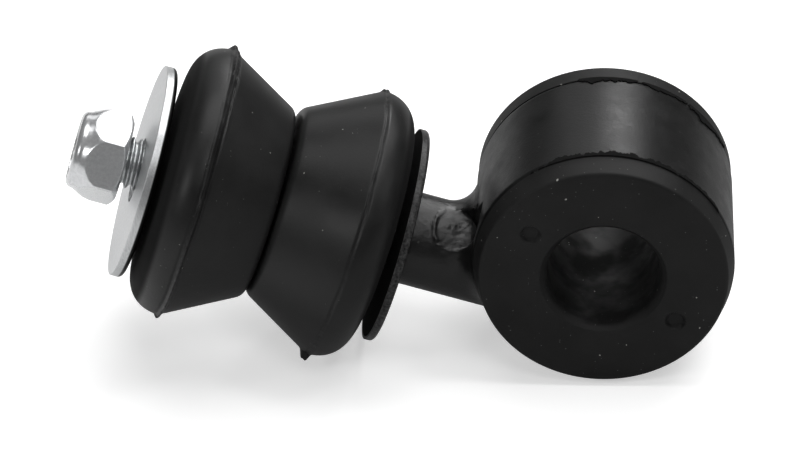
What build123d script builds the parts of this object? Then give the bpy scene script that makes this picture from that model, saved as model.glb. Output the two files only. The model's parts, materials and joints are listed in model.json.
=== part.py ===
# A drop link for an anti-roll bar. A forged eye holds a rubber bush for the end of the bar, and a stud
# on its shank carries two cone bushes between washers, held by a lock nut.
# Sizes are in millimetres. The origin is the middle of the bush's bore. +Y runs along the bore to the
# back, +Z is up as the link lies on a floor, and the stud rises towards -X.

import os
from math import asin, atan2, cos, degrees, hypot, radians, sin

from build123d import *

# Driving dimensions of the eye and its rubber bush
eye_radius = 24.75
eye_wall = 4.25
eye_length = 27.8
eye_edge = 0.6
bush_bore = 21.6
bush_flange = 4.1
bush_flange_taper = 1.6
bush_mouth = 1.2
bush_front_rounding = 0.9
bush_back_rounding = 0.4
mould_mark_radius = 1.7
mould_mark_depth = 0.55
mould_mark_reach = 16.7
mould_mark_angle = 144.5

# Driving dimensions of the shank and the stud
shank_radius = 9.05
shank_inset = 1.5
shank_blend = 5.0
shank_reach = 11.65
shoulder_edge = 0.8
stud_diameter = 10.0
stud_in_nut = 9.2
stud_chamfer = 1.0
test_flat_radius = 4.2
test_flat_depth = 0.6
test_flat_reach = 9.0
test_flat_turn = -122.0
test_dent_radius = 3.2
test_dent_depth = 0.5
test_dent_shift = 1.3

# Driving dimensions of the two cone bushes
nose_radius = 18.4
nose_rounding = 3.0
rim_radius = 26.35
rim_place = 14.6
shoulder_radius = 20.0
shoulder_height = 6.6
cone_length = 22.9
end_face_radius = 8.5
cone_bore = 11.7
flash_height = 0.5
flash_width = 0.9

# Driving dimensions of the washers
inner_washer_radius = 20.95
inner_washer_thickness = 1.6
inner_washer_bore = 10.6
inner_washer_roll = 0.7
outer_washer_radius = 20.7
outer_washer_thickness = 1.6
outer_washer_bore = 12.6
outer_washer_edge = 0.3

# Driving dimensions of the lock nut and its nylon ring
nut_flats = 16.0
nut_height = 10.0
nut_turn = -9.8
nut_face_chamfer = 0.7
nut_corner_height = 4.8
nut_collar_start = 7.3
nut_collar_radius = 7.75
nut_collar_rounding = 1.1
nut_lip = 0.6
insert_radius = 6.6
insert_height = 2.3

# Clearances
running_gap = 0.05
flange_gap = 0.15
seat_gap = 0.2
inner_cone_gap = 0.7
cone_gap = 0.2
outer_washer_gap = 1.2
nut_free_thread = 2.8

# How the loose pieces lean and hang in the play that the open nut leaves them
inner_cone_lean = 2.2
outer_cone_lean = 1.4
outer_washer_lean = 2.4
outer_washer_turn = 1.6
inner_washer_hang = 0.2
inner_cone_hang = 0.25
outer_cone_hang = 0.5
outer_washer_hang = 1.2

# The flanges of the bush end inside the eye's rim
bush_flange_radius = eye_radius - flange_gap
bush_face_radius = bush_flange_radius - bush_flange_taper

# The shank runs off the eye just inside its lower side, and its shoulder carries the stack
stud_offset = eye_radius - shank_radius - shank_inset
shoulder_place = eye_radius + shank_reach
test_flat_place = shoulder_place - test_flat_reach

# Places along the stud from the foot of the eye's axis, worked outwards from the shoulder
stud_radius = stud_diameter / 2
inner_washer_place = shoulder_place + seat_gap
inner_cone_room = inner_cone_gap + end_face_radius * sin(radians(inner_cone_lean))
inner_cone_end = inner_washer_place + inner_washer_thickness + inner_cone_room
inner_cone_nose = inner_cone_end + cone_length
cone_room = cone_gap + nose_radius * sin(radians(inner_cone_lean - outer_cone_lean))
outer_cone_nose = inner_cone_nose + cone_room
outer_cone_end = outer_cone_nose + cone_length
outer_washer_room = outer_washer_gap + end_face_radius * sin(radians(outer_washer_lean))
outer_washer_place = outer_cone_end + outer_washer_room
nut_place = outer_washer_place + outer_washer_thickness + nut_free_thread
stud_end = nut_place + stud_in_nut

# The link rests on its eye and on the rim of the leaning inner cone bush
inner_cone_middle = inner_cone_end + cone_length / 2
rim_reach = rim_radius + flash_height
rim_arm = cone_length - rim_place - cone_length / 2
lean = radians(inner_cone_lean)
rim_drop = stud_offset + inner_cone_hang + rim_reach * cos(lean) - rim_arm * sin(lean)
rim_along = inner_cone_middle + rim_arm * cos(lean) + rim_reach * sin(lean)
stud_rise = atan2(rim_drop, rim_along) - asin(eye_radius / hypot(rim_drop, rim_along))

# Local frames: one looks out of the front of the eye, the other along the stud towards the nut
eye_frame = Plane(origin=(0, 0, 0), x_dir=(1, 0, 0), z_dir=(0, -1, 0))
stud_foot = (-stud_offset * sin(stud_rise), 0, -stud_offset * cos(stud_rise))
stud_frame = Plane(origin=stud_foot, x_dir=(0, 1, 0), z_dir=(-cos(stud_rise), 0, sin(stud_rise)))


def tube(outer_radius, inner_radius, low, high):
    return Pos(0, 0, (low + high) / 2) * (
        Cylinder(outer_radius, high - low) - Cylinder(inner_radius, high - low)
    )


def on_eye(shape):
    return eye_frame.location * shape


def on_stud(shape):
    return stud_frame.location * shape


# The forging: eye, shank and stud are one piece of steel
def make_link():
    eye = on_eye(Cylinder(eye_radius, eye_length))
    eye = chamfer(eye.edges().filter_by(GeomType.CIRCLE), eye_edge)
    shank = on_stud(Pos(0, 0, shoulder_place / 2) * Cylinder(shank_radius, shoulder_place))
    body = eye + shank
    joint = body.edges().filter_by(lambda e: e.geom_type not in (GeomType.LINE, GeomType.CIRCLE))
    body = fillet(joint, shank_blend)
    end = on_stud(Pos(0, 0, shoulder_place))
    rim = body.edges().filter_by(GeomType.CIRCLE).sort_by_distance(end.position)[0]
    body = chamfer(rim, shoulder_edge)

    # A spot ground flat for the hardness test, with the dent of the ball in it
    flat_height = shank_radius - test_flat_depth
    cutter = Cylinder(test_flat_radius, shank_radius, align=(Align.CENTER, Align.CENTER, Align.MIN))
    ball_height = flat_height + test_dent_radius - test_dent_depth
    ball = Pos(0, -test_dent_shift, ball_height) * Sphere(test_dent_radius)
    spot = Pos(0, 0, flat_height) * cutter + ball
    face_out = Plane(
        origin=(0, 0, test_flat_place),
        x_dir=(-sin(radians(test_flat_turn)), cos(radians(test_flat_turn)), 0),
        z_dir=(cos(radians(test_flat_turn)), sin(radians(test_flat_turn)), 0),
    )
    body -= on_stud(face_out.location * spot)

    body -= on_eye(Cylinder(eye_radius - eye_wall, eye_length * 2))
    stud_length = stud_end - shoulder_place
    stud = Cylinder(stud_radius, stud_length, align=(Align.CENTER, Align.CENTER, Align.MIN))
    stud = chamfer(stud.edges().group_by(Axis.Z)[-1], stud_chamfer)
    return body + on_stud(Pos(0, 0, shoulder_place) * stud)


# The eye's rubber bush: a core in the eye, with a flange over each of its ends
def make_eye_bush():
    ring_end = eye_length / 2 + running_gap
    face = eye_length / 2 + bush_flange
    core = eye_radius - eye_wall - running_gap
    bore = bush_bore / 2
    outline = Polyline(
        (bore, -face + bush_mouth),
        (bore + bush_mouth, -face),
        (bush_flange_radius, -face),
        (bush_flange_radius, -ring_end),
        (core, -ring_end),
        (core, ring_end),
        (bush_flange_radius, ring_end),
        (bush_face_radius, face),
        (bore + bush_mouth, face),
        (bore, face - bush_mouth),
        close=True,
    )
    profile = make_face(outline)
    for height, rounding in ((face, bush_front_rounding), (-face, bush_back_rounding)):
        corner = profile.vertices().sort_by_distance((bush_flange_radius, height, 0))[0]
        profile = fillet(corner, rounding)
    bush = revolve(Plane.XZ * profile, Axis.Z)

    # Two shallow marks that the mould leaves in the front face
    ball = (mould_mark_radius**2 + mould_mark_depth**2) / (2 * mould_mark_depth)
    for turn in (mould_mark_angle, mould_mark_angle + 180):
        place = Rot(0, 0, turn) * Pos(mould_mark_reach, 0, face + ball - mould_mark_depth)
        bush -= place * Sphere(ball)
    return on_eye(bush)


# A cone bush with its nose at zero and its end face at the cone's length
def make_cone_bush():
    bore = cone_bore / 2
    outline = [
        Polyline((rim_radius, rim_place), (nose_radius, 0), (bore, 0), (bore, cone_length)),
        Polyline(
            (bore, cone_length),
            (end_face_radius, cone_length),
            (shoulder_radius, rim_place + shoulder_height),
        ),
        EllipticalCenterArc(
            (shoulder_radius, rim_place),
            rim_radius - shoulder_radius,
            shoulder_height,
            start_angle=0,
            arc_size=90,
        ),
    ]
    profile = make_face(outline)
    nose = profile.vertices().sort_by_distance((nose_radius, 0, 0))[0]
    profile = fillet(nose, nose_rounding)

    # The flash that the two halves of the mould leave round the rim
    inside = rim_radius - flash_width
    flash = Polyline(
        (inside, rim_place - flash_width),
        (rim_radius + flash_height, rim_place),
        (inside, rim_place + flash_width),
        close=True,
    )
    return revolve(Plane.XZ * (profile + make_face(flash)), Axis.Z)


def make_inner_washer():
    thickness = inner_washer_thickness
    washer = tube(inner_washer_radius, inner_washer_bore / 2, 0, thickness)
    rim = washer.edges().filter_by(GeomType.CIRCLE).group_by(Axis.Z)[0].sort_by(SortBy.RADIUS)[-1]
    return fillet(rim, inner_washer_roll)


def make_outer_washer():
    thickness = outer_washer_thickness
    washer = tube(outer_washer_radius, outer_washer_bore / 2, -thickness / 2, thickness / 2)
    rims = washer.edges().filter_by(GeomType.CIRCLE).sort_by(SortBy.RADIUS)[-2:]
    return fillet(rims, outer_washer_edge)


# The lock nut: a hexagon cut by a turned form that ends in a collar, crimped over the nylon ring
def make_nut():
    corner = nut_flats / 2 / cos(radians(30))
    flat = nut_flats / 2
    hexagon = extrude(
        RegularPolygon(flat, 6, major_radius=False, rotation=nut_turn), nut_height
    )
    outline = Polyline(
        (0, 0),
        (flat - nut_face_chamfer / 2, 0),
        (corner, nut_face_chamfer),
        (corner, nut_corner_height),
        (flat, nut_collar_start),
        (nut_collar_radius, nut_height),
        (0, nut_height),
        close=True,
    )
    profile = make_face(outline)
    shoulder = profile.vertices().sort_by_distance((nut_collar_radius, nut_height, 0))[0]
    profile = fillet(shoulder, nut_collar_rounding)
    nut = hexagon & revolve(Plane.XZ * profile, Axis.Z)
    pocket_top = nut_height - nut_lip
    pocket_bottom = pocket_top - insert_height - 2 * running_gap
    pocket = Cylinder(insert_radius + running_gap, pocket_top - pocket_bottom)
    nut -= Pos(0, 0, (pocket_top + pocket_bottom) / 2) * pocket
    return nut - Pos(0, 0, nut_height / 2) * Cylinder(stud_radius + running_gap, nut_height * 2)


def make_insert():
    top = nut_height - nut_lip - running_gap
    return tube(insert_radius, stud_radius + running_gap, top - insert_height, top)


cone = make_cone_bush()
outer_cone_middle = outer_cone_nose + cone_length / 2
inner_cone_turn = Pos(0, inner_cone_hang, inner_cone_middle) * Rot(inner_cone_lean, 0, 0)
outer_cone_turn = Pos(0, outer_cone_hang, outer_cone_middle) * Rot(outer_cone_lean, 0, 0)
washer_middle = outer_washer_place + outer_washer_thickness / 2
washer_turn = Rot(outer_washer_turn, -outer_washer_lean, 0)

parts = {
    "link_forging": make_link(),
    "eye_bush": make_eye_bush(),
    "inner_washer": on_stud(Pos(0, inner_washer_hang, inner_washer_place) * make_inner_washer()),
    "inner_cone_bush": on_stud(inner_cone_turn * Rot(180, 0, 0) * Pos(0, 0, -cone_length / 2) * cone),
    "outer_cone_bush": on_stud(outer_cone_turn * Pos(0, 0, -cone_length / 2) * cone),
    "outer_washer": on_stud(Pos(0, outer_washer_hang, washer_middle) * washer_turn * make_outer_washer()),
    "lock_nut": on_stud(Pos(0, 0, nut_place) * make_nut()),
    "nut_insert": on_stud(Pos(0, 0, nut_place) * make_insert()),
}

os.makedirs("parts", exist_ok=True)
for name, shape in parts.items():
    export_step(shape, f"parts/{name}.step")
    box = shape.bounding_box()
    print(name, [round(v, 2) for v in (*box.min, *box.max)], round(shape.volume, 1))
print("stud rises", round(degrees(stud_rise), 3), "degrees; nut face at", round(nut_place, 3))
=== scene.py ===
import json
from math import atan2, cos, degrees, exp, hypot, pi, radians, sin, tan

import bpy
from mathutils import Matrix, Vector, noise

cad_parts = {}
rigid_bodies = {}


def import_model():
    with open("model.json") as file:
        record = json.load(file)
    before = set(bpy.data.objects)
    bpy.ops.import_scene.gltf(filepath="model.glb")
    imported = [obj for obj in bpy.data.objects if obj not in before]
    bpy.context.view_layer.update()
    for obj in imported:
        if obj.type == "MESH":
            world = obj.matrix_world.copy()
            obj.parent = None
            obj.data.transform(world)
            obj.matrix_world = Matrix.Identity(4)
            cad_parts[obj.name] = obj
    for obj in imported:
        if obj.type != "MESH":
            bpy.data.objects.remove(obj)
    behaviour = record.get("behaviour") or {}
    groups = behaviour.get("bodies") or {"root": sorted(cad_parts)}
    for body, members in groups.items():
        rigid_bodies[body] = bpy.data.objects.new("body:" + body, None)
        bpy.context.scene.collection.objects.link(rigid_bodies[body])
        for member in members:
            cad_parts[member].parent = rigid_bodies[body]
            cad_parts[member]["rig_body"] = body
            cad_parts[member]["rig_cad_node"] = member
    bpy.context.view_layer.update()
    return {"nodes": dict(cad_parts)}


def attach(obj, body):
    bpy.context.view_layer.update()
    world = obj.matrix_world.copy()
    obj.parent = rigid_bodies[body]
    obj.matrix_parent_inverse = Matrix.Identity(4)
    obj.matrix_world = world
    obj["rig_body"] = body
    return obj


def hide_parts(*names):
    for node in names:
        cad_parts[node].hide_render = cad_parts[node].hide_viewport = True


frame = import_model()
nodes = frame["nodes"]
mm = 0.001
print("frame loaded:", sorted(nodes))


# Numbers
def apart(heading, other):  # degrees from one heading to another, from -180 to 180
    return (heading - other + 180) % 360 - 180


def bell(distance, width, power=2):  # 1 in the middle, next to nothing past the width
    return exp(-(distance / width) ** power)


def smoothStep(value):  # 0 below 0, 1 above 1 and an S between them
    value = min(1, max(0, value))
    return value * value * (3 - 2 * value)


def inMillimetres(vertex):
    return (value / mm for value in vertex.co)


def shift(x, y, z):  # mm
    return Matrix.Translation((x * mm, y * mm, z * mm))


def turn(degreesTurned, axis):
    return Matrix.Rotation(radians(degreesTurned), 4, axis)


# Points of an ellipse's arc in a (radius, height) outline, from first to last degrees
def arc(centreRadius, centreHeight, radius, height, first, last, count):
    angles = [radians(first + (last - first) * i / count) for i in range(count + 1)]
    return [(centreRadius + radius * cos(a), centreHeight + height * sin(a)) for a in angles]


# The points that cut the line from start to stop into count equal parts, without its ends
def between(start, stop, count):
    shares = [i / count for i in range(1, count)]
    return [(start[0] + (stop[0] - start[0]) * s, start[1] + (stop[1] - start[1]) * s) for s in shares]


# Colours, nodes and materials
def toLinear(hexColour):
    channels = [int(hexColour[i:i + 2], 16) / 255 for i in (1, 3, 5)]
    return (*[c / 12.92 if c <= 0.04045 else ((c + 0.055) / 1.055) ** 2.4 for c in channels], 1)


def addNode(tree, kind, settings=None, links=None):
    node = tree.nodes.new(kind)
    for key, value in (settings or {}).items():
        if isinstance(key, str) and hasattr(node, key):
            setattr(node, key, value)
        else:
            node.inputs[key].default_value = value
    for key, source in (links or {}).items():
        tree.links.new(source, node.inputs[key])
    return node


def emptyTree(owner):
    owner.use_nodes = True
    owner.node_tree.nodes.clear()
    return owner.node_tree


def newMaterial(name, settings):
    material = bpy.data.materials.new(name)
    tree = emptyTree(material)
    shader = addNode(tree, "ShaderNodeBsdfPrincipled", settings)
    addNode(tree, "ShaderNodeOutputMaterial", {}, {"Surface": shader.outputs["BSDF"]})
    place = addNode(tree, "ShaderNodeTexCoord").outputs["Object"]
    return material, tree, shader, place


def connect(tree, shader, colour, roughness):
    tree.links.new(colour, shader.inputs["Base Color"])
    tree.links.new(roughness, shader.inputs["Roughness"])


def addBump(tree, shader, height, strength, depth):  # depth in mm
    bump = addNode(tree, "ShaderNodeBump", {"Strength": strength, "Distance": depth * mm}, {"Height": height})
    tree.links.new(bump.outputs[0], shader.inputs["Normal"])


def perMetre(millimetres):  # a texture scale whose features are that many millimetres apart
    return 1000 / millimetres


def cloudNoise(tree, place, size, detail=2.0, roughness=0.5):  # size in mm
    settings = {"Scale": perMetre(size), "Detail": detail, "Roughness": roughness}
    return addNode(tree, "ShaderNodeTexNoise", settings, {"Vector": place}).outputs["Fac"]


def maths(tree, operation, *values, clamp=False):
    numbers = {slot: value for slot, value in enumerate(values) if isinstance(value, (int, float))}
    sockets = {slot: value for slot, value in enumerate(values) if slot not in numbers}
    settings = {"operation": operation, "use_clamp": clamp, **numbers}
    return addNode(tree, "ShaderNodeMath", settings, sockets).outputs[0]


def vectorMaths(tree, operation, settings, links):
    return addNode(tree, "ShaderNodeVectorMath", {"operation": operation, **settings}, links)


def remap(tree, value, fromMin, fromMax, toMin=0.0, toMax=1.0, shape="LINEAR"):
    ends = {"From Min": fromMin, "From Max": fromMax, "To Min": toMin, "To Max": toMax}
    return addNode(tree, "ShaderNodeMapRange", {"interpolation_type": shape, **ends}, {"Value": value}).outputs[0]


def mixColour(tree, factor, first, second):
    ends = {6: first, 7: second}
    fixed = {slot: toLinear(end) for slot, end in ends.items() if isinstance(end, str)}
    linked = {slot: end for slot, end in ends.items() if slot not in fixed}
    return addNode(tree, "ShaderNodeMix", {"data_type": "RGBA", **fixed}, {0: factor, **linked}).outputs[2]


def colourRamp(tree, factor, stops):
    ramp = addNode(tree, "ShaderNodeValToRGB", {}, {"Fac": factor})
    elements = ramp.color_ramp.elements
    while len(elements) < len(stops):
        elements.new(0.5)
    for element, (position, colour) in zip(elements, stops):
        element.position = position
        element.color = toLinear(colour) if isinstance(colour, str) else (colour, colour, colour, 1)
    return ramp.outputs["Color"]


# White where a speck lies: specks of about size mm, spacing mm apart in space, thinned to a share of them
def speckMask(tree, place, spacing, size, share):
    wander = addNode(tree, "ShaderNodeTexNoise", {"Scale": perMetre(spacing * 2.3)}, {"Vector": place})
    reach = (spacing * mm * 1.3,) * 3
    shifted = vectorMaths(tree, "MULTIPLY_ADD", {1: reach}, {0: wander.outputs["Color"], 2: place})
    cells = addNode(tree, "ShaderNodeTexVoronoi", {"Scale": perMetre(spacing)}, {"Vector": shifted.outputs[0]})
    near = maths(tree, "LESS_THAN", cells.outputs["Distance"], size / 2 / spacing)
    kept = addNode(tree, "ShaderNodeSeparateColor", {}, {0: cells.outputs["Color"]})
    chosen = maths(tree, "LESS_THAN", kept.outputs[0], share)
    return maths(tree, "MULTIPLY", near, chosen)


# How far a point lies along an axis through a middle, from 0 at low mm to 1 at high mm
def alongAxis(tree, place, middle, axis, low, high):
    start = middle.dot(axis)
    reach = vectorMaths(tree, "DOT_PRODUCT", {1: tuple(axis)}, {0: place}).outputs["Value"]
    return remap(tree, reach, start + low * mm, start + high * mm, shape="SMOOTHSTEP")


# How far a point lies from an axis, from 0 at low mm to 1 at high mm
def fromAxis(tree, place, middle, axis, low, high):
    arm = vectorMaths(tree, "SUBTRACT", {1: tuple(middle)}, {0: place})
    across = vectorMaths(tree, "CROSS_PRODUCT", {1: tuple(axis)}, {0: arm.outputs[0]})
    length = vectorMaths(tree, "LENGTH", {}, {0: across.outputs[0]})
    return remap(tree, length.outputs["Value"], low * mm, high * mm)


# Modelling
def deselectAll():
    for other in bpy.context.selected_objects:
        other.select_set(False)


def makeActive(piece):
    deselectAll()
    piece.select_set(True)
    bpy.context.view_layer.objects.active = piece


def editAll(piece):
    makeActive(piece)
    bpy.ops.object.mode_set(mode="EDIT")
    bpy.ops.mesh.select_mode(type="VERT")
    bpy.ops.mesh.select_all(action="SELECT")


def stopEditing():
    bpy.ops.object.mode_set(mode="OBJECT")


def applyModifier(piece, kind, settings):
    makeActive(piece)
    modifier = piece.modifiers.new(kind.title(), kind)
    for key, value in settings.items():
        setattr(modifier, key, value)
    bpy.ops.object.modifier_apply(modifier=modifier.name)


def combine(piece, other, operation):
    applyModifier(piece, "BOOLEAN", {"operation": operation, "object": other, "solver": "EXACT"})
    bpy.data.objects.remove(other)


def soften(piece, grid, steps):  # grid in mm
    applyModifier(piece, "REMESH", {"mode": "VOXEL", "voxel_size": grid * mm})
    applyModifier(piece, "SMOOTH", {"factor": 0.5, "iterations": steps})


def smoothByAngle(piece, angle):
    makeActive(piece)
    bpy.ops.object.shade_smooth_by_angle(angle=radians(angle))


# A line of vertices through (radius, height) points in mm, left in edit mode
def drawnLine(name, points):
    bpy.ops.mesh.primitive_plane_add(size=mm, location=(0, 0, 0))
    piece = bpy.context.object
    piece.name = piece.data.name = name
    bpy.ops.object.mode_set(mode="EDIT")
    bpy.ops.mesh.select_all(action="SELECT")
    bpy.ops.mesh.merge(type="CENTER")
    places = [Vector((radius, 0, height)) * mm for radius, height in points]
    bpy.ops.transform.translate(value=places[0])
    for last, place in zip(places, places[1:]):
        bpy.ops.mesh.extrude_vertices_move(TRANSFORM_OT_translate={"value": place - last})
    return piece


# An outline of (radius, height) points in mm, spun about Z
def turnedPiece(name, outline, steps, closed=True):
    piece = drawnLine(name, outline + outline[:1] if closed else outline)
    bpy.ops.mesh.select_all(action="SELECT")
    bpy.ops.mesh.spin(steps=steps, angle=2 * pi, center=(0, 0, 0), axis=(0, 0, 1))
    bpy.ops.mesh.select_all(action="SELECT")
    bpy.ops.mesh.remove_doubles(threshold=1e-6)
    bpy.ops.mesh.normals_make_consistent(inside=False)
    stopEditing()
    deselectAll()
    return piece


def standingCylinder(radius, low, high, sides):  # mm
    size = {"radius": radius * mm, "depth": (high - low) * mm}
    bpy.ops.mesh.primitive_cylinder_add(vertices=sides, location=(0, 0, 0), **size)
    piece = bpy.context.object
    piece.data.transform(shift(0, 0, (low + high) / 2))
    return piece


# Where things stand, in the CAD frame: the origin is the middle of the eye's bore, +Y points to the back
stud = {
    "rise": 17.63,  # degrees, from the floor up towards the nut
    "offset": 14.2,  # mm between the eye's middle and the stud's line
}
rise = radians(stud["rise"])
alongStud = Vector((-cos(rise), 0, sin(rise)))
acrossStud = Vector((-sin(rise), 0, -cos(rise)))
studFoot = stud["offset"] * mm * acrossStud
studMatrix = Matrix((
    (0, acrossStud.x, alongStud.x, studFoot.x),
    (1, 0, 0, 0),
    (0, acrossStud.z, alongStud.z, studFoot.z),
    (0, 0, 0, 1),
))
toStudAxes = studMatrix.to_3x3().inverted().to_euler()
eyeMiddle, eyeAxis = Vector((0, 0, 0)), Vector((0, 1, 0))
eyeMatrix = Matrix(((1, 0, 0, 0), (0, 0, -1, 0), (0, 1, 0, 0), (0, 0, 0, 1)))

camera = {
    "place": (4.18, -628.16, 417.69),  # mm
    "azimuth": 3.95, "elevation": 33.66, "roll": -1.86,  # degrees
    "lens": 176.9, "sensor": 36, "clipStart": 0.05,
}
cameraTurn = turn(camera["azimuth"], "Z") @ turn(90 - camera["elevation"], "X") @ turn(camera["roll"], "Z")
bpy.ops.object.camera_add(location=Vector(camera["place"]) * mm, rotation=cameraTurn.to_euler())
photoCamera = bpy.context.object
photoCamera.name = "photoCamera"
photoCamera.data.lens = camera["lens"]
photoCamera.data.sensor_width = camera["sensor"]
photoCamera.data.clip_start = camera["clipStart"]
bpy.context.scene.camera = photoCamera
print("camera set")

# Floor, world and soft lamps
studio = {
    "floorHeight": -24.92,  # mm, the eye and the inner cone bush rest on it
    "floorSize": 12.0,  # m
    "floorColour": "#e8e8e8", "dimColour": "#303030",
    "floorGlow": 0.5,
    "mirroredGlow": 0.1,  # the same, as glossy surfaces see it close to the link
    "tableReach": 0.6,  # m, past which the mirrored floor is dim
    "dimFrom": -98, "dimTo": -80, "dimShare": 0.62,  # mm; right of here the table is dimmer in mirrored light
    "worldStrength": 0.19,
    "frontHeading": -0.6, "mirroredFront": 0.08,  # what glossy surfaces see of the room on the camera's side
    "backHeading": 0.5, "mirroredBack": 0.05,  # and behind the link
}
lampAim = Vector((-0.02, 0, 0))
lamps = {
    "backBox": {"place": (0.14, 0.95, 0.62), "size": (0.22, 0.26), "power": 1.9},
    "backWide": {"place": (-0.24, 0.98, 0.55), "size": (0.46, 0.3), "power": 0.6},
    "keyBox": {"place": (0.46, 0.62, 0.84), "size": (0.7, 0.45), "power": 3.4},
    "topBox": {"place": (-0.05, 0.15, 1.0), "size": (0.8, 0.6), "power": 4.6},
    "frontBox": {"place": (0.16, -0.62, 0.85), "size": (0.34, 0.26), "power": 1.3},
    "shankBox": {"place": (0.46, -0.1, 1.0), "size": (0.2, 0.26), "power": 1.5},
    "leftBox": {"place": (-0.7, -0.57, 0.55), "size": (0.17, 0.19), "power": 1.1},
    "rightBox": {"place": (0.84, -0.16, 0.5), "size": (0.18, 0.22), "power": 0.6},
}
white = toLinear("#ffffff")
bpy.context.scene.view_settings.view_transform = "Standard"
world = bpy.data.worlds.new("whiteStudio")
bpy.context.scene.world = world
tree = emptyTree(world)
rays = addNode(tree, "ShaderNodeLightPath").outputs
heading = addNode(tree, "ShaderNodeTexCoord").outputs["Generated"]
split = addNode(tree, "ShaderNodeSeparateXYZ", {}, {0: heading})
mirrored = remap(
    tree, split.outputs["Y"], studio["frontHeading"], studio["backHeading"],
    studio["mirroredFront"], studio["mirroredBack"],
)
plain = addNode(tree, "ShaderNodeBackground", {"Color": white, "Strength": studio["worldStrength"]}).outputs[0]
gloss = addNode(tree, "ShaderNodeBackground", {"Color": white}, {"Strength": mirrored}).outputs[0]
backdrop = addNode(tree, "ShaderNodeBackground", {"Color": white, "Strength": 1.0}).outputs[0]
soft = addNode(tree, "ShaderNodeMixShader", {}, {0: rays["Is Glossy Ray"], 1: plain, 2: gloss}).outputs[0]
seen = addNode(tree, "ShaderNodeMixShader", {}, {0: rays["Is Camera Ray"], 1: soft, 2: backdrop}).outputs[0]
addNode(tree, "ShaderNodeOutputWorld", {}, {"Surface": seen})

bpy.ops.mesh.primitive_plane_add(size=studio["floorSize"], location=(0, 0, studio["floorHeight"] * mm))
floor = bpy.context.object
floor.name = "studioFloor"
# White table paper, blown out to the camera and dimmer in the black surfaces that mirror it
floorMaterial = bpy.data.materials.new("whiteTable")
tree = emptyTree(floorMaterial)
rays = addNode(tree, "ShaderNodeLightPath").outputs
place = addNode(tree, "ShaderNodeTexCoord").outputs["Object"]
split = addNode(tree, "ShaderNodeSeparateXYZ", {}, {0: place})
dim = remap(tree, split.outputs["X"], studio["dimFrom"] * mm, studio["dimTo"] * mm, 0.0, studio["dimShare"])
dimmed = maths(tree, "MULTIPLY", rays["Is Glossy Ray"], dim)
paperColour = mixColour(tree, dimmed, studio["floorColour"], studio["dimColour"])
paper = addNode(tree, "ShaderNodeBsdfDiffuse", {}, {"Color": paperColour}).outputs[0]
far = vectorMaths(tree, "LENGTH", {}, {0: place}).outputs["Value"]
near = remap(tree, far, studio["tableReach"] / 3, studio["tableReach"], studio["mirroredGlow"], 0.0)
mirrored = maths(tree, "MULTIPLY", rays["Is Glossy Ray"], near)
lift = maths(tree, "MULTIPLY_ADD", rays["Is Camera Ray"], studio["floorGlow"], mirrored)
glow = addNode(tree, "ShaderNodeEmission", {"Color": white}, {"Strength": lift}).outputs[0]
both = addNode(tree, "ShaderNodeAddShader", {}, {0: paper, 1: glow}).outputs[0]
addNode(tree, "ShaderNodeOutputMaterial", {}, {"Surface": both})
floor.data.materials.append(floorMaterial)

for name, lamp in lamps.items():
    look = (lampAim - Vector(lamp["place"])).to_track_quat("-Z", "Y")
    bpy.ops.object.light_add(type="AREA", location=lamp["place"], rotation=look.to_euler())
    light = bpy.context.object
    light.name = name
    light.data.shape = "RECTANGLE"
    light.data.size, light.data.size_y = lamp["size"]
    light.data.energy = lamp["power"]
print("floor and lamps set")


# Finishes; sizes and depths in mm
def mouldedRubber(name, look, paintedShadeZone):
    # Moulded natural rubber: near black, satin, with a matt bloom in patches, mould grain and pale dust
    material, tree, shader, place = newMaterial(name, {"Specular IOR Level": look["gloss"], "IOR": 1.52})
    bloom = cloudNoise(tree, place, look["bloomSize"], 5.0, 0.6)
    colour = colourRamp(tree, bloom, [(0.3, look["dark"]), (0.7, look["pale"])])
    spacing, size = look["dustSpacing"], look["dustSize"]
    dust = speckMask(tree, place, spacing, size, look["dustShare"])
    powder = speckMask(tree, place, spacing * look["powderSpacing"], size * look["powderSize"], look["powderShare"])
    colour = mixColour(tree, powder, colour, look["powderColour"])
    colour = mixColour(tree, dust, colour, look["dustColour"])
    # Painted shade: the rubber is blacker, rougher and without bloom where the zone marks a gap or hollow that
    # shade fills
    paintedShade = paintedShadeZone(tree, place)
    colour = mixColour(tree, paintedShade, colour, look["paintedShadeColour"])
    rough = remap(tree, bloom, 0.3, 0.7, look["roughness"] - 0.06, look["roughness"] + 0.08)
    connect(tree, shader, colour, maths(tree, "MULTIPLY_ADD", paintedShade, 0.5, rough, clamp=True))
    grain = cloudNoise(tree, place, look["grainSize"], 3.0)
    addBump(tree, shader, grain, look["grainStrength"], look["grainDepth"])
    return material


def blackPaint(name, look):
    # Black paint dipped over forged steel: semi-gloss, grainy, with chips and fine scratches along the eye
    settings = {"Specular IOR Level": look["gloss"], "Specular Tint": look["sheen"], "IOR": 1.5}
    material, tree, shader, place = newMaterial(name, settings)
    cloud = cloudNoise(tree, place, look["cloudSize"], 6.0, 0.65)
    colour = colourRamp(tree, cloud, [(0.35, look["colour"]), (0.75, look["worn"])])
    stretched = addNode(tree, "ShaderNodeMapping", {"Scale": (3.5, 0.5, 3.5)}, {"Vector": place}).outputs[0]
    scratch = cloudNoise(tree, stretched, look["scratchSize"], 5.0, 0.75)
    scratches = colourRamp(tree, scratch, [(0.66, 0.0), (0.69, 1.0)])
    chips = speckMask(tree, place, look["chipSpacing"], look["chipSize"], look["chipShare"])
    patch = colourRamp(tree, cloudNoise(tree, place, look["patchSize"]), [(0.5, 0.0), (0.62, 1.0)])
    marked = maths(tree, "MULTIPLY", maths(tree, "MAXIMUM", scratches, chips), patch)
    colour = mixColour(tree, maths(tree, "MULTIPLY", marked, 0.55), colour, look["scratchColour"])
    rough = remap(tree, cloud, 0.3, 0.7, look["roughness"] - 0.06, look["roughness"] + 0.1)
    connect(tree, shader, colour, rough)
    addBump(tree, shader, cloudNoise(tree, place, look["peelSize"], 5.0, 0.7), 0.6, look["peelDepth"])
    return material


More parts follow.
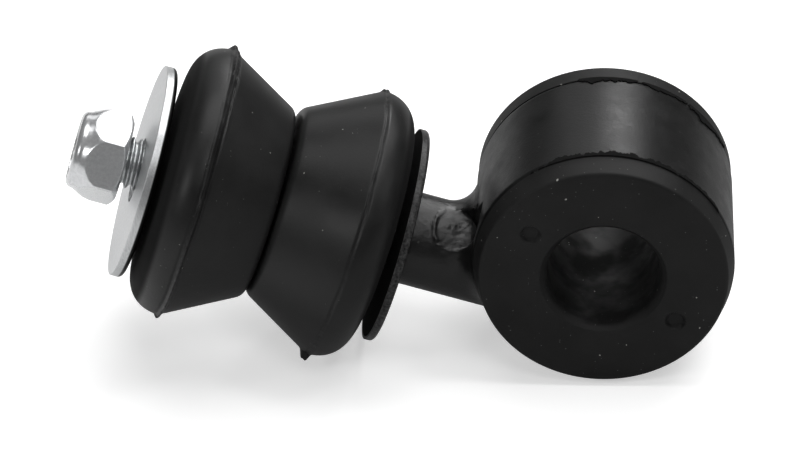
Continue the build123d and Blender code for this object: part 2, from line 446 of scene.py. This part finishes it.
def blackZinc(name, look, rimZone):
    # Pressed steel with a black passivated zinc coat: dead matt on its faces, painted near black there as shade,
    # rubbed to a gloss on its rim
    material, tree, shader, place = newMaterial(name, {"Specular IOR Level": look["gloss"]})
    rim = rimZone(tree, place)
    cloud = cloudNoise(tree, place, look["wearSize"], 4.0)
    worn = colourRamp(tree, cloud, [(0.35, look["rimColour"]), (0.7, look["worn"])])
    rough = remap(tree, rim, 0.0, 1.0, look["faceRoughness"], look["roughness"])
    uneven = maths(tree, "MULTIPLY_ADD", cloud, 0.12, -0.06)
    spread = maths(tree, "ADD", rough, uneven, clamp=True)
    connect(tree, shader, mixColour(tree, rim, look["paintedShadeFaceColour"], worn), spread)
    return material


def brightZinc(name, look, stretch=(1, 1, 1), paintedReflectionZone=None):
    # Electroplated bright zinc: a soft mirror with hairlines from handling, slightly blue-grey
    material, tree, shader, place = newMaterial(name, {"Metallic": look["metallic"]})
    settings = {"Scale": stretch, "Rotation": toStudAxes}
    local = addNode(tree, "ShaderNodeMapping", settings, {"Vector": place}).outputs[0]
    hair = cloudNoise(tree, local, look["hairSize"], 4.0, 0.7)
    colour = colourRamp(tree, hair, [(0.3, look["shade"]), (0.7, look["colour"])])
    if paintedReflectionZone:  # painted reflection: the drawn edge behind is painted dark, for the dark rubber it mirrors
        colour = mixColour(tree, paintedReflectionZone(tree, place), colour, look["paintedReflectionColour"])
    connect(tree, shader, colour, remap(tree, hair, 0.0, 1.0, look["roughness"] - 0.1, look["roughness"] + 0.1))
    addBump(tree, shader, hair, 0.2, look["hairDepth"])
    return material


def nylon(name):
    # Natural nylon 66: milky off-white, waxy
    settings = {"Roughness": 0.42, "Subsurface Weight": 0.1, "Subsurface Scale": 0.001}
    material, tree, shader, place = newMaterial(name, settings)
    colour = colourRamp(tree, cloudNoise(tree, place, 2, 3.0), [(0.3, "#c9c4b6"), (0.7, "#dcd8cc")])
    tree.links.new(colour, shader.inputs["Base Color"])
    return material


rubberLook = {
    # painted shade: the near black given to the cone ends, the eye bush's flash and its bore
    "paintedShadeColour": "#030303", "grainDepth": 0.03,
    "powderSpacing": 0.42, "powderSize": 0.62,  # shares of the dust's
}
coneRubberLook = {
    **rubberLook, "dark": "#151515", "pale": "#222222",
    "roughness": 0.42, "gloss": 0.3,
    "bloomSize": 14,
    "grainSize": 0.5, "grainStrength": 0.6,
    "dustColour": "#8a8a86", "dustSize": 0.34, "dustSpacing": 3.2, "dustShare": 0.5,
    "powderColour": "#4a4a48", "powderShare": 0.3,
}
bushRubberLook = {
    **rubberLook, "dark": "#141414", "pale": "#1f1f1f",
    "roughness": 0.56, "gloss": 0.24,
    "bloomSize": 11,
    "grainSize": 0.45, "grainStrength": 0.5,
    "dustColour": "#9a9a96", "dustSize": 0.32, "dustSpacing": 2.7, "dustShare": 0.55,
    "powderColour": "#505050", "powderShare": 0.5,
}
forgingLook = {
    "colour": "#101010", "worn": "#1c1c1c", "cloudSize": 6,
    "roughness": 0.36, "gloss": 0.3, "sheen": (0.6, 0.6, 0.6, 1),
    "peelSize": 0.6, "peelDepth": 0.05,
    "scratchColour": "#5a5a58", "scratchSize": 1.6,
    "chipSize": 0.5, "chipSpacing": 1.9, "chipShare": 0.4, "patchSize": 16,
}
shankLook = {  # thicker paint
    **forgingLook, "roughness": 0.32, "gloss": 0.5, "sheen": (1, 1, 1, 1), "peelDepth": 0.09,
}
blackZincLook = {
    # the faces' near black is painted shade, darker than the coat on the rim
    "paintedShadeFaceColour": "#010101", "faceRoughness": 0.95,
    "rimColour": "#141414", "worn": "#464646", "wearSize": 0.5,
    "roughness": 0.32, "gloss": 0.2,
}
nutZincLook = {
    "colour": "#e8e9ea", "shade": "#d0d2d4", "roughness": 0.22, "metallic": 0.7,
    "hairSize": 0.5, "hairDepth": 0.006,
}
threadZincLook = {**nutZincLook, "colour": "#d2d4d5", "shade": "#9c9fa0", "roughness": 0.36, "metallic": 0.85}
washerZincLook = {
    **nutZincLook, "colour": "#e0e1e2", "shade": "#bfc1c2", "roughness": 0.38, "metallic": 0.85,
    # the back edge's painted reflection of the dark rubber
    "paintedReflectionColour": "#1a1a1a",
}

# The pieces on the stud: their middles along it, how far they hang below it and how they lean
standing = {
    "innerConeBush": {"middle": 50.676, "hang": 0.25, "tilt": turn(2.2, "X")},
    "outerConeBush": {"middle": 74.033, "hang": 0.5, "tilt": turn(1.4, "X")},
    "brightWasher": {"middle": 87.839, "hang": 1.2, "tilt": turn(1.6, "X") @ turn(-2.4, "Y")},
}
standMatrices = {
    name: studMatrix @ shift(0, stand["hang"], stand["middle"]) @ stand["tilt"]
    for name, stand in standing.items()
}
washerAxis = standMatrices["brightWasher"].to_3x3() @ Vector((0, 0, 1))
zones = {  # mm from a middle or an axis, where a finish starts to change and where it has changed
    "outerConeEnd": (7.6, 9.0), "innerConeEnd": (8.6, 9.8),
    "ringFlash": (24.64, 24.72), "bore": (11.5, 11.0),
    "washerRim": (20.45, 20.6), "washerBack": (0.45, 0.7),
}


def outerConeEndPaintedShade(tree, place):  # painted shade on its end, in the dark gap beside the bright washer
    middle = standMatrices["outerConeBush"].translation
    return alongAxis(tree, place, middle, alongStud, *zones["outerConeEnd"])


def innerConeEndPaintedShade(tree, place):  # painted shade on its end, in the dark gap beside the black washer
    middle = standMatrices["innerConeBush"].translation
    return alongAxis(tree, place, middle, -alongStud, *zones["innerConeEnd"])


def eyeBushPaintedShade(tree, place):  # painted shade on the thin flash over the eye's ring, where it lies in the gap, and in patches of the bore
    flash = fromAxis(tree, place, eyeMiddle, eyeAxis, *zones["ringFlash"])
    inside = fromAxis(tree, place, eyeMiddle, eyeAxis, *zones["bore"])
    patches = colourRamp(tree, cloudNoise(tree, place, 7, 3.0), [(0.42, 0.0), (0.62, 0.6)])
    return maths(tree, "MAXIMUM", flash, maths(tree, "MULTIPLY", inside, patches))


def washerRim(tree, place):
    return fromAxis(tree, place, studFoot, alongStud, *zones["washerRim"])


# the drawn back edge of the bright washer, painted dark as a reflection of the rubber
def washerBack(tree, place):
    middle = standMatrices["brightWasher"].translation
    return alongAxis(tree, place, middle, -washerAxis, *zones["washerBack"])


finishes = {
    "forging": blackPaint("blackPaintOverForging", forgingLook),
    "shank": blackPaint("thickBlackPaintOverShank", shankLook),
    "outerConeRubber": mouldedRubber("mouldedOuterConeRubber", coneRubberLook, outerConeEndPaintedShade),
    "innerConeRubber": mouldedRubber("mouldedInnerConeRubber", coneRubberLook, innerConeEndPaintedShade),
    "bushRubber": mouldedRubber("mouldedBushRubber", bushRubberLook, eyeBushPaintedShade),
    "blackWasher": blackZinc("blackPassivatedZinc", blackZincLook, washerRim),
    "brightWasher": brightZinc("brightZincWasher", washerZincLook, (2.2, 2.2, 0.25), washerBack),
    "brightNut": brightZinc("brightZincNut", nutZincLook),
    "thread": brightZinc("brightZincThread", threadZincLook),
    "nylon": nylon("naturalNylon"),
}
for name, finish in {"inner_washer": "blackWasher", "nut_insert": "nylon"}.items():
    nodes[name].data.materials.clear()
    nodes[name].data.materials.append(finishes[finish])
print("finishes made")


def finishPiece(piece, material, body, replaced=()):
    piece.data.materials.clear()
    piece.data.materials.append(finishes[material])
    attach(piece, body)
    if replaced:
        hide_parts(*replaced)


# The cone bushes: natural rubber, moulded in two halves that part at the rim
coneBush = {
    "noseRadius": 18.4, "noseRounding": 2.4,
    "rimRadius": 26.35, "rimPlace": 14.6,
    "shoulderRadius": 19.0, "shoulderHeight": 7.2, "shoulderPower": 2.2,
    "length": 22.9, "endRadius": 8.5, "bore": 5.85,
    "shoulderAngles": (
        1, 2, 3.5, 5, 6.5, 8, 9.5, 11, 12.5, 14, 17, 20, 24, 28, 33, 38, 43, 49, 55, 61, 67, 73, 79, 84, 90,
    ),
    "flashWidth": 0.3, "grooveWidth": 0.24,
    "rimZone": 1.6, "rimDepth": 2,  # mm each side of the parting line, and inwards, that carry its detail
    "wander": 0.18, "wanderRate": 3,  # mm that the parting line strays, and how often round the rim
    "raggedRates": ((1, 15), (0.7, 41)),  # share and rate
    "noseRings": 8, "flankRings": 14, "rimRings": 16, "endRings": 4, "steps": 460,
}
coneBushes = {
    "innerConeBush": {
        "node": "inner_cone_bush", "body": "inner_cone", "finish": "innerConeRubber", "lift": turn(180, "X"),
        "flashHeight": 0.0, "raggedness": 0.05, "grooveDepth": 0.2, "groovePlace": 0.12,
        "nibs": [
            {"angle": 57, "height": 0.6, "reach": 2.2, "thickness": 0.7},
            {"angle": -123, "height": 1.5, "reach": 2.6, "thickness": 0.95},
        ],
        "seed": 3.7,
    },
    "outerConeBush": {
        "node": "outer_cone_bush", "body": "outer_cone", "finish": "outerConeRubber", "lift": Matrix.Identity(4),
        "flashHeight": 0.38, "raggedness": 0.2, "grooveDepth": 0.14, "groovePlace": 0.62,
        "nibs": [
            {"angle": -57, "height": 1.0, "reach": 3.0, "thickness": 1.0},
            {"angle": 123, "height": 0.75, "reach": 2.0, "thickness": 0.7},
        ],
        "flap": {
            "angle": -75, "spread": 42, "height": 0.3, "place": -1.05, "width": 0.24,
            "groovePlace": -0.62, "grooveWidth": 0.2, "grooveShare": 0.6,
        },
        "seed": 9.2,
    },
}


def coneOutline(cone):
    rim, place, zone = cone["rimRadius"], cone["rimPlace"], cone["rimZone"]
    flank = atan2(rim - cone["noseRadius"], place)
    back = cone["noseRounding"]
    corner = back * (1 / cos(flank) - tan(flank))
    noseArc = arc(cone["noseRadius"] - corner, back, back, back, -90, -degrees(flank), cone["noseRings"])
    zoneStart, parting = (rim - zone * tan(flank), place - zone), (rim, place)
    flankPoints = between(noseArc[-1], zoneStart, cone["flankRings"])
    rimPoints = [zoneStart] + between(zoneStart, parting, cone["rimRings"]) + [parting]
    power, span, climb = 2 / cone["shoulderPower"], rim - cone["shoulderRadius"], cone["shoulderHeight"]
    shoulder = [
        (cone["shoulderRadius"] + span * max(0, cos(a)) ** power, place + climb * sin(a) ** power)
        for a in map(radians, cone["shoulderAngles"])
    ]
    end = (cone["endRadius"], cone["length"])
    endPoints = between(shoulder[-1], end, cone["endRings"]) + [end]
    inside = [(cone["bore"], cone["length"]), (cone["bore"], 0), (noseArc[0][0] * 0.7 + cone["bore"] * 0.3, 0)]
    return inside + noseArc + flankPoints + rimPoints + shoulder + endPoints


def partingRelief(bush, angle, height):  # mm that the flash, nibs and grooves stand off the cone
    around = Vector((cos(angle), sin(angle), bush["seed"]))
    away = height - coneBush["wander"] * noise.noise(around * coneBush["wanderRate"])
    ragged = sum(share * noise.noise(around * rate) for share, rate in coneBush["raggedRates"])
    grown, inNib = 0, 0
    for side in (-1, 1):
        groove = bell(away - side * bush["groovePlace"], coneBush["grooveWidth"])
        grown -= bush["grooveDepth"] * (1 + 0.5 * ragged) * groove
    for nib in bush["nibs"]:
        inside = bell(apart(degrees(angle), nib["angle"]), nib["reach"], 4)
        inNib = max(inNib, inside)
        grown += nib["height"] * inside * bell(away, nib["thickness"], 4)
    if "flap" in bush:  # a lip of rubber that lies beside the parting line, low on the camera's side
        flap = bush["flap"]
        lip = bell(away - flap["place"], flap["width"])
        lip -= flap["grooveShare"] * bell(away - flap["groovePlace"], flap["grooveWidth"])
        inside = bell(apart(degrees(angle), flap["angle"]), flap["spread"], 4)
        grown += flap["height"] * inside * (1 + 0.6 * ragged) * lip
    flash = bush["flashHeight"] + bush["raggedness"] * ragged
    return grown + flash * bell(away, coneBush["flashWidth"]) * (1 - inNib)


for name, bush in coneBushes.items():
    cone = coneBush
    piece = turnedPiece(name, coneOutline(cone), cone["steps"])
    for vertex in piece.data.vertices:
        x, y, z = inMillimetres(vertex)
        radius, height = hypot(x, y), z - cone["rimPlace"]
        if radius < cone["rimRadius"] - cone["rimDepth"] or abs(height) > cone["rimZone"]:
            continue
        fade = 1 - (abs(height) / cone["rimZone"]) ** 4
        factor = 1 + fade * partingRelief(bush, atan2(y, x), height) / radius
        vertex.co = Vector((x * factor, y * factor, z)) * mm
    piece.data.transform(standMatrices[name] @ bush["lift"] @ shift(0, 0, -cone["length"] / 2))
    smoothByAngle(piece, 60)
    finishPiece(piece, bush["finish"], bush["body"], (bush["node"],))
print("cone bushes made")

# The eye's bush: rubber bonded in the eye, a flange over each end, two marks of the mould in its front face
eyeBush = {
    "bore": 10.8, "mouth": 1.2, "mouthLead": 0.25, "mouthFlare": 0.12,
    "boreWave": 0.25, "boreRate": 0.12,
    "flangeRadius": 24.6, "faceRadius": 23.6, "core": 20.45,
    "ringEnd": 13.95, "face": 18.0, "faceWave": 0.05, "faceRate": 0.16,
    "frontRounding": 0.7, "backRounding": 0.4,
    "markRadius": 1.75, "markDepth": 0.85, "markReach": 16.7, "markAngles": (144.5, -35.5), "markEdge": 0.5,
    "ringRadius": 24.75, "skin": 0.2,  # mm that the flash stands off the painted ring
    "skinRows": 4, "skinStep": 0.02, "skinFade": 0.2, "skinHidden": 0.5,
    "skinLifts": (0, 1, 1, -1.6),  # share of the skin's height, from the flange's row to the tip's
    "rootDrop": 0.05, "edgeDrop": 0.3, "tipReach": 1.02,  # how far each row is drawn out
    "tongues": ((0.7, 0.33), (0.5, 1.1), (0.3, 3.1)),  # share and rate
    "frontFlash": {"windows": ((75, 42),), "length": 0.7, "tongue": 1.7, "seed": 21},
    "backFlash": {"windows": ((48, 24), (88, 12)), "length": 0.9, "tongue": 1.8, "seed": 77},
    "faceRings": 26, "boreRings": 20, "steps": 720,
}


def flashSkin(bush, side):  # rings that are drawn out over the ring of the eye afterwards
    heights = [side * (bush["ringEnd"] - bush["skinStep"] * i) for i in range(bush["skinRows"])]
    return [(bush["flangeRadius"], height) for height in (heights if side > 0 else heights[::-1])]


def eyeBushOutline(bush):
    face, end, bore, mouth = bush["face"], bush["ringEnd"], bush["bore"], bush["mouth"]
    faceRadius, flange = bush["faceRadius"], bush["flangeRadius"]
    edge, backEdge = bush["frontRounding"], bush["backRounding"]
    slope = degrees(atan2(flange - faceRadius, face - end))
    front = arc(faceRadius - edge, face - edge, edge, edge, 90, slope, 6)
    back = arc(flange - backEdge, backEdge - face, backEdge, backEdge, 0, -90, 4)
    mouthRim = (bore + mouth, face)
    faceRings = [mouthRim] + between(mouthRim, (faceRadius - edge, face), bush["faceRings"])
    return (
        [(bore, face - mouth - bush["mouthLead"]), (bore + bush["mouthFlare"], face - mouth)] + faceRings + front
        + [(flange - 0.1, end + 0.3)] + flashSkin(bush, 1) + [(bush["core"], end), (bush["core"], -end)]
        + flashSkin(bush, -1) + back + [(faceRadius - 4, -face), (bore + mouth, -face), (bore, mouth - face)]
        + between((bore, mouth - face), (bore, face - mouth), bush["boreRings"])
    )


def markSink(bush, x, y):
    sink = 0
    for markAngle in map(radians, bush["markAngles"]):
        away = hypot(x - bush["markReach"] * cos(markAngle), y - bush["markReach"] * sin(markAngle))
        sink += bush["markDepth"] * smoothStep((bush["markRadius"] - away) / bush["markEdge"] + 0.5)
    return sink


def flashPoint(bush, x, y, z):  # where a point of the skin lies once the flash is drawn out, ragged at its tip
    flash = bush["frontFlash"] if z > 0 else bush["backFlash"]
    around = Vector((x, y, flash["seed"]))
    heading = degrees(atan2(y, x))
    window = max(bell(apart(heading, middle), spread, 6) for middle, spread in flash["windows"])
    tongue = sum(share * noise.noise(around * rate) for share, rate in bush["tongues"])
    reach = max(0, flash["length"] + flash["tongue"] * tongue) * window
    row = round((bush["ringEnd"] - abs(z)) / bush["skinStep"])  # 0 at the flange, 3 at the tip
    shown = min(1, reach / bush["skinFade"])
    newRadius = bush["flangeRadius"] if row == 0 else bush["ringRadius"] - bush["skinHidden"] * (1 - shown)
    newRadius += bush["skinLifts"][row] * bush["skin"] * shown
    drawn = (0, bush["rootDrop"], reach, bush["tipReach"] * reach)[row]
    if row > 1 and reach > bush["skinFade"]:
        drawn += bush["edgeDrop"]
    factor = newRadius / hypot(x, y)
    return Vector((x * factor, y * factor, (abs(z) - drawn) * (1 if z > 0 else -1)))


bush = eyeBush
piece = turnedPiece("eyeBush", eyeBushOutline(bush), bush["steps"])
for vertex in piece.data.vertices:
    x, y, z = inMillimetres(vertex)
    radius = hypot(x, y)
    if z > bush["face"] - 0.01 and radius > bush["bore"] + bush["mouth"] + 0.3:
        uneven = bush["faceWave"] * noise.noise(Vector((x, y, 0)) * bush["faceRate"])
        vertex.co.z = (z - markSink(bush, x, y) + uneven) * mm
    elif bush["ringEnd"] - 0.07 < abs(z) < bush["ringEnd"] + 0.01 and radius > bush["flangeRadius"] - 0.6:
        vertex.co = flashPoint(bush, x, y, z) * mm
    elif radius < bush["bore"] + 0.1 and abs(z) < bush["face"] - bush["mouth"] - 1:
        factor = 1 + bush["boreWave"] * noise.noise(Vector((x, y, z)) * bush["boreRate"]) / radius
        vertex.co = Vector((x * factor, y * factor, z)) * mm
piece.data.transform(eyeMatrix)
smoothByAngle(piece, 40)
finishPiece(piece, "bushRubber", "bush", ("eye_bush",))
print("eye bush made")

# The forging: the CAD solid with its cut thread end left off, softened as a forging is
forging = {
    "cutPlace": 86.9, "cutMargin": 0.4,  # mm along the stud, under the outer washer
    "grid": 0.4, "smoothing": 3,
    "eyeRadius": 24.75, "ringHalf": 13.1, "ripple": 0.16,
    "shankRadius": 9.05, "shankFrom": 25.3,  # mm from the eye's middle, where the paint is thicker
    "shoulder": 36.4, "shoulderSpan": 4.3, "shoulderSkin": 1.5,
    "studRadius": 5.0, "corner": 0.55, "relief": 0.02,
}
spot = {  # on the shank: a flat for a hardness test, mostly filled by the paint that ran round it
    "turn": -122, "place": 27.4, "fromAxis": 8.45, "flat": 4.8, "flatDepth": 1.5, "fill": 0.93,
    "span": 12, "thickness": 4, "skin": 0.05, "grainRate": 1.3, "grainShift": Vector((7.3, 2.1, 5.9)),
    "crater": 1.7, "craterShift": 0.7, "rough": 0.3, "depth": 0.35,
    "ridge": 4.5, "ridgeWander": 0.5, "ridgeRate": 0.4, "ridgeSeed": 3, "ridgeWidth": 0.42, "ridgeHeight": 0.3,
    "ridgeHeading": -28, "ridgeSpread": 82,
}
source = nodes["link_forging"]
makeActive(source)
bpy.ops.object.duplicate()
link = bpy.context.object
link.name = link.data.name = "forgedLink"
link.parent = None
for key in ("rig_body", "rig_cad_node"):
    if key in link:
        del link[key]
editAll(link)
bpy.ops.mesh.remove_doubles(threshold=1e-6)
cutPoint = studMatrix @ Vector((0, 0, forging["cutPlace"] * mm))
bpy.ops.mesh.bisect(plane_co=cutPoint, plane_no=alongStud, use_fill=True, clear_outer=True)
stopEditing()
soften(link, forging["grid"], forging["smoothing"])

spotTurn = radians(spot["turn"])
spotRay = Vector((cos(spotTurn), sin(spotTurn), 0))
spotOut = (studMatrix.to_3x3() @ spotRay).normalized()
spotMiddle = studMatrix @ ((spotRay * spot["fromAxis"] + Vector((0, 0, spot["place"]))) * mm)
spotSide = alongStud.cross(spotOut)
for vertex in link.data.vertices:  # rough skin on the shank, the tested spot and the paint that ran round it
    arm = (vertex.co - spotMiddle) / mm
    u, v, w = arm.dot(alongStud), arm.dot(spotSide), arm.dot(spotOut)
    reach = hypot(u, v)
    if w < -spot["thickness"] or reach > spot["span"]:
        continue
    out = (vertex.co - studFoot) / mm
    out -= alongStud * out.dot(alongStud)
    missing = forging["shankRadius"] - out.length
    if reach < spot["flat"] and w > -spot["flatDepth"] and missing > 0:
        vertex.co += out.normalized() * (spot["fill"] * missing * mm)
    grain = noise.fractal(vertex.co / mm * spot["grainRate"] + spot["grainShift"], 1.0, 2.0, 3)
    crater = bell(hypot(u + spot["craterShift"], v), spot["crater"])
    wander = noise.noise(Vector((u, v, spot["ridgeSeed"])) * spot["ridgeRate"])
    ridgePlace = spot["ridge"] + spot["ridgeWander"] * wander
    along = bell(apart(degrees(atan2(v, u)), spot["ridgeHeading"]), spot["ridgeSpread"], 4)
    lift = spot["skin"] * grain + crater * (spot["rough"] * grain - spot["depth"])
    lift += spot["ridgeHeight"] * (1 + 0.6 * grain) * along * bell(reach - ridgePlace, spot["ridgeWidth"])
    vertex.co += spotOut * (lift * mm)
for vertex in link.data.vertices:  # the turned stud and the shoulder that the washer seats on stay true
    arm = (vertex.co - studFoot) / mm
    height = arm.dot(alongStud)
    out = arm - alongStud * height
    over, spread = height - forging["shoulder"], out.length - forging["studRadius"]
    tooFar = spread > forging["shoulderSpan"] or height > forging["cutPlace"] - forging["cutMargin"]
    if over < -forging["relief"] or tooFar:
        continue
    toStud, toShoulder = out.normalized() * spread, alongStud * (over + forging["relief"])
    if max(over, spread) < forging["corner"]:
        vertex.co -= (toStud + toShoulder) * mm
    elif over > max(spread, 0):
        vertex.co -= toStud * mm
    elif over < forging["shoulderSkin"]:
        vertex.co -= toShoulder * mm
for vertex in link.data.vertices:  # the remesh leaves ripples on the machined ring
    x, y, z = inMillimetres(vertex)
    factor = forging["eyeRadius"] / hypot(x, z)
    if abs(hypot(x, z) - forging["eyeRadius"]) < forging["ripple"] and abs(y) < forging["ringHalf"]:
        vertex.co = Vector((x * factor, y, z * factor)) * mm
smoothByAngle(link, 60)
finishPiece(link, "forging", "link", ("link_forging",))
link.data.materials.append(finishes["shank"])
for face in link.data.polygons:
    if hypot(face.center.x, face.center.z) > forging["shankFrom"] * mm:
        face.material_index = 1
print("forging made:", len(link.data.polygons), "faces")

# The bright washer: punched from sheet, so one edge is square and the other is drawn round
washer = {
    "radius": 20.7, "bore": 6.3,
    "front": 0.8, "back": -1.45,  # mm from the middle of the CAD washer
    "frontEdge": 0.16, "backEdge": 0.8, "flatBack": -0.8, "turnedRim": 18.4,
    "steps": 360,
}
radius, edge, backEdge = washer["radius"], washer["frontEdge"], washer["backEdge"]
front, back = washer["front"], washer["back"]
outline = (
    [(washer["bore"], front)] + between((washer["bore"], front), (radius - 0.2, front), 8)
    + arc(radius - edge, front - edge, edge, edge, 90, 0, 5)
    + [(radius, front - 0.5), (radius, back + backEdge + 0.1)]
    + arc(radius - backEdge, back + backEdge, backEdge, backEdge, 0, -90, 8)
    + [(washer["turnedRim"], washer["flatBack"]), (washer["bore"], washer["flatBack"])]
)
piece = turnedPiece("brightWasher", outline, washer["steps"])
piece.data.transform(standMatrices["brightWasher"])
smoothByAngle(piece, 30)
finishPiece(piece, "brightWasher", "outer_washer", ("outer_washer",))
print("bright washer made")

# The lock nut: a hexagon turned down to a collar that is crimped over its nylon ring
nut = {
    "flats": 16.0, "height": 10.0, "turn": 20.2, "place": 91.439,
    "faceRadius": 7.5, "faceCorner": 1.0,  # the chamfer on the washer's side
    "cornerHeight": 4.6, "collarStart": 7.4, "collarRadius": 7.5, "collarRounding": 1.5,
    "shoulderSwell": 0.15, "lipRadius": 6.0, "lipDepth": 0.5, "lipSlope": 0.4,
    # Radius, from and to: the thread's hole, round the nylon ring and in front of it
    "holes": ((5.05, -2, 12), (6.7, 7.0, 9.35), (6.0, 9.2, 11)),
    "steps": 180, "holeSides": 96, "grid": 0.16, "smoothing": 5,
}
halfFlats, top, rounding, lip = nut["flats"] / 2, nut["height"], nut["collarRounding"], nut["lipRadius"]
corner = halfFlats / cos(radians(30))
outline = [
    (0, 0), (nut["faceRadius"], 0), (corner, nut["faceCorner"]), (corner, nut["cornerHeight"]),
    ((corner + halfFlats) / 2 + nut["shoulderSwell"], (nut["cornerHeight"] + nut["collarStart"]) / 2),
    (halfFlats, nut["collarStart"]),
]
outline += arc(nut["collarRadius"] - rounding, top - rounding, rounding, rounding, 0, 90, 8)
outline += [(lip, top - 0.1), (lip - nut["lipSlope"], top - nut["lipDepth"]), (0, top - nut["lipDepth"])]
turnedForm = turnedPiece("nutTurnedForm", outline, nut["steps"], closed=False)
piece = standingCylinder(corner, 0, top, 6)
piece.name = piece.data.name = "lockNut"
piece.data.transform(turn(nut["turn"], "Z"))
combine(piece, turnedForm, "INTERSECT")
for holeRadius, low, high in nut["holes"]:
    combine(piece, standingCylinder(holeRadius, low, high, nut["holeSides"]), "DIFFERENCE")
soften(piece, nut["grid"], nut["smoothing"])
piece.data.transform(studMatrix @ shift(0, 0, nut["place"]))
smoothByAngle(piece, 60)
finishPiece(piece, "brightNut", "nut", ("lock_nut",))
print("lock nut made:", len(piece.data.polygons), "faces")

# The M10 x 1.5 thread on the end of the stud
thread = {
    "start": 86.0, "end": 100.6, "pitch": 1.5,
    "crest": 5.0, "root": 4.1, "crestFlat": 0.2, "rootFlat": 0.3,
    "chamfer": 1.0, "steps": 96,
}
pitch, crest, root, crestFlat = thread["pitch"], thread["crest"], thread["root"], thread["crestFlat"]
flank = (pitch - crestFlat - thread["rootFlat"]) / 2
tooth = [
    (root, 0), (crest, flank), (crest, flank + crestFlat), (root, 2 * flank + crestFlat), (root, pitch),
]
piece = drawnLine("studThread", [(radius, thread["start"] - pitch + climb) for radius, climb in tooth])
stopEditing()
applyModifier(piece, "SCREW", {
    "angle": 2 * pi, "screw_offset": pitch * mm, "axis": "Z",
    "iterations": int((thread["end"] - thread["start"]) / pitch) + 3,
    "steps": thread["steps"], "render_steps": thread["steps"],
    "use_merge_vertices": False, "use_normal_calculate": True,
})
editAll(piece)
bpy.ops.mesh.remove_doubles(threshold=2e-6)
bpy.ops.mesh.normals_make_consistent(inside=False)
for cutHeight, outward in ((thread["start"], -1), (thread["end"], 1)):
    bpy.ops.mesh.select_all(action="SELECT")
    cut = {"plane_co": (0, 0, cutHeight * mm), "plane_no": (0, 0, outward)}
    bpy.ops.mesh.bisect(use_fill=True, clear_outer=True, **cut)
stopEditing()
for vertex in piece.data.vertices:
    x, y, z = inMillimetres(vertex)
    factor = (crest - max(0, z - thread["end"] + thread["chamfer"])) / hypot(x, y)
    if factor < 1:
        vertex.co = Vector((x * factor, y * factor, z)) * mm
piece.data.transform(studMatrix)
smoothByAngle(piece, 35)
finishPiece(piece, "thread", "link")
print("thread made")
